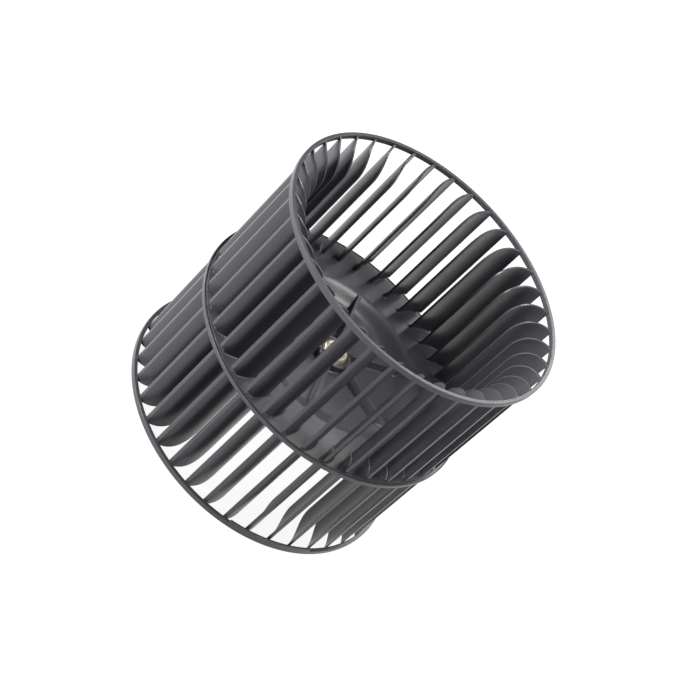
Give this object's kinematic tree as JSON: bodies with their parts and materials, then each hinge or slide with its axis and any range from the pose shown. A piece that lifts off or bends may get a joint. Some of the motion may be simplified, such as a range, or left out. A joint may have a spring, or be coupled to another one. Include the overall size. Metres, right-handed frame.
{
  "type": "range hood blower wheel",
  "caption": "Double-inlet centrifugal blower wheel: two cages of forward-curved blades on a dished disc, end rings, and a bored metal hub insert.",
  "frame": {"origin": "centre of the lower end ring's face, on the wheel's axis", "axes": "+Z along the axis towards the inlet that the dish faces; the outer edge of one blade of each cage lies on +X"},
  "size_m": [0.15, 0.15, 0.1345],
  "materials": {
    "wheel_plastic": "satin",
    "insert_brass": "turned"
  },
  "bodies": {
    "root": {"blower_wheel": "wheel_plastic", "hub_insert": "insert_brass"}
  },
  "joints": []
}
